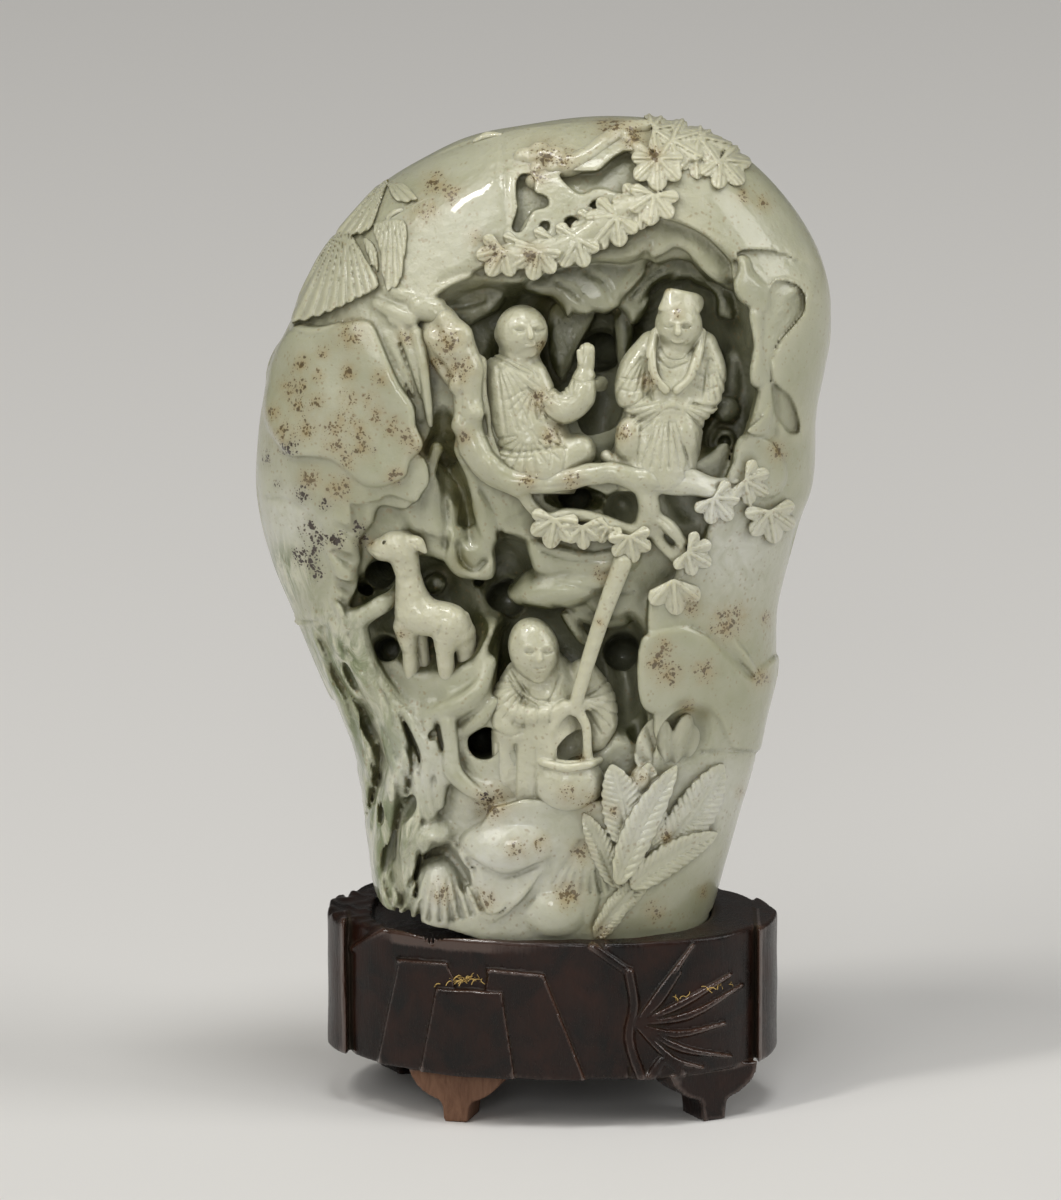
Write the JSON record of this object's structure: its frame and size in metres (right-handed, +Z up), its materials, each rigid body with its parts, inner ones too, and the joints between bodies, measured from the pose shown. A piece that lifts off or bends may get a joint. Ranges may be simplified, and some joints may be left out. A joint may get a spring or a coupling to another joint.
{
  "type": "jade boulder carving on a hardwood stand",
  "caption": "Upright jade boulder pierced and carved with figures, a deer, trees and grottoes, resting in the socket of a low oval carved hardwood stand.",
  "frame": {"origin": "on the ground under the middle of the whole piece", "axes": "+Z up, -Y towards the carved front, +X to the right as the front is seen"},
  "size_m": [0.1152, 0.0638, 0.2018],
  "materials": {
    "jade": "waxy polished pale celadon nephrite with brown specks",
    "dark_wood": "near-black lacquered hardwood, glossy on the edges"
  },
  "bodies": {
    "root": {"jade_boulder": "jade", "wood_stand": "dark_wood"}
  },
  "joints": []
}
